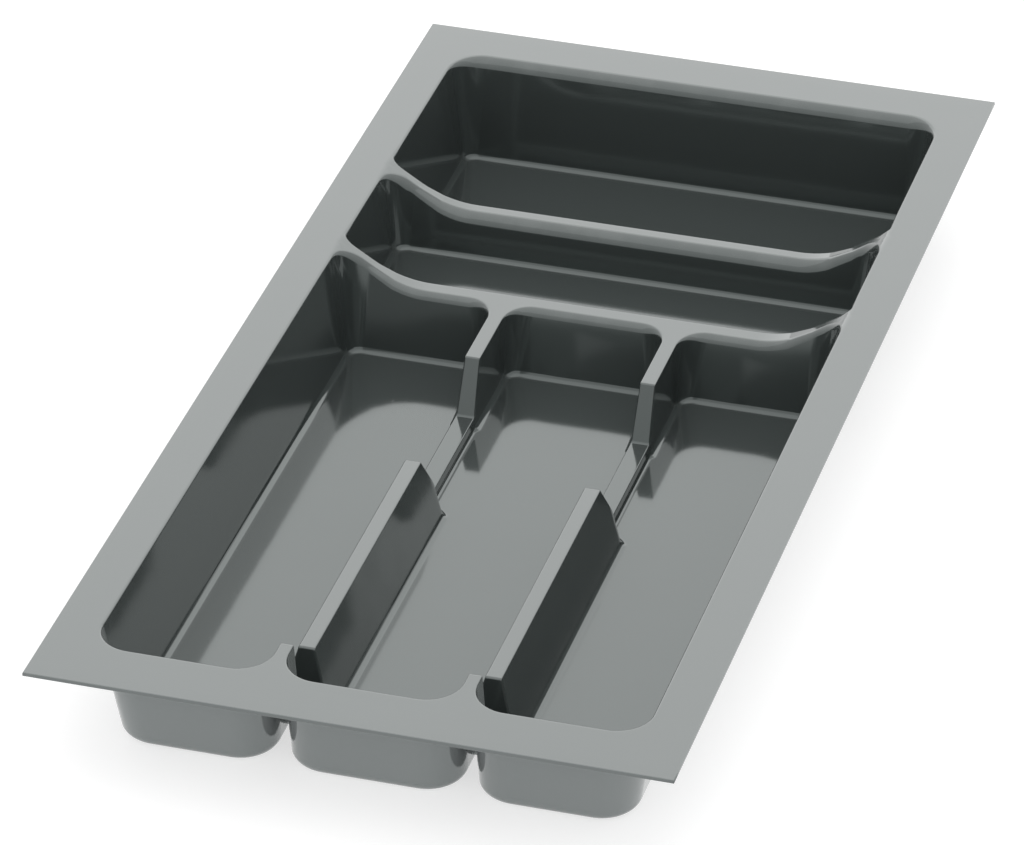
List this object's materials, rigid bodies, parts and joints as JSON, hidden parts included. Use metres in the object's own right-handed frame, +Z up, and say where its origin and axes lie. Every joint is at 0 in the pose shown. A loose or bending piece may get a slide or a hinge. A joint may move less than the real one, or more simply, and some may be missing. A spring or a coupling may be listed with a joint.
{
  "type": "cutlery tray",
  "caption": "Grey formed-plastic drawer insert for cutlery: flat rim, long front wells parted by low ribs, a shallow cross well and a wide rear well.",
  "frame": {"origin": "on the ground under the middle of the tray", "axes": "+X to the right, +Y along the tray to the rear well, +Z up out of the wells"},
  "size_m": [0.23, 0.49, 0.0415],
  "materials": {
    "tray_plastic": "satin-gloss moulded grey"
  },
  "bodies": {
    "root": {"left_rim": "tray_plastic", "right_rim": "tray_plastic", "front_rim": "tray_plastic", "back_rim": "tray_plastic", "rear_well": "tray_plastic", "rear_divider": "tray_plastic", "middle_well": "tray_plastic", "front_divider": "tray_plastic", "left_well": "tray_plastic", "centre_well": "tray_plastic", "right_well": "tray_plastic", "left_neck": "tray_plastic", "left_saddle": "tray_plastic", "left_ridge": "tray_plastic", "left_tongue": "tray_plastic", "right_neck": "tray_plastic", "right_saddle": "tray_plastic", "right_ridge": "tray_plastic", "right_tongue": "tray_plastic"}
  },
  "joints": []
}
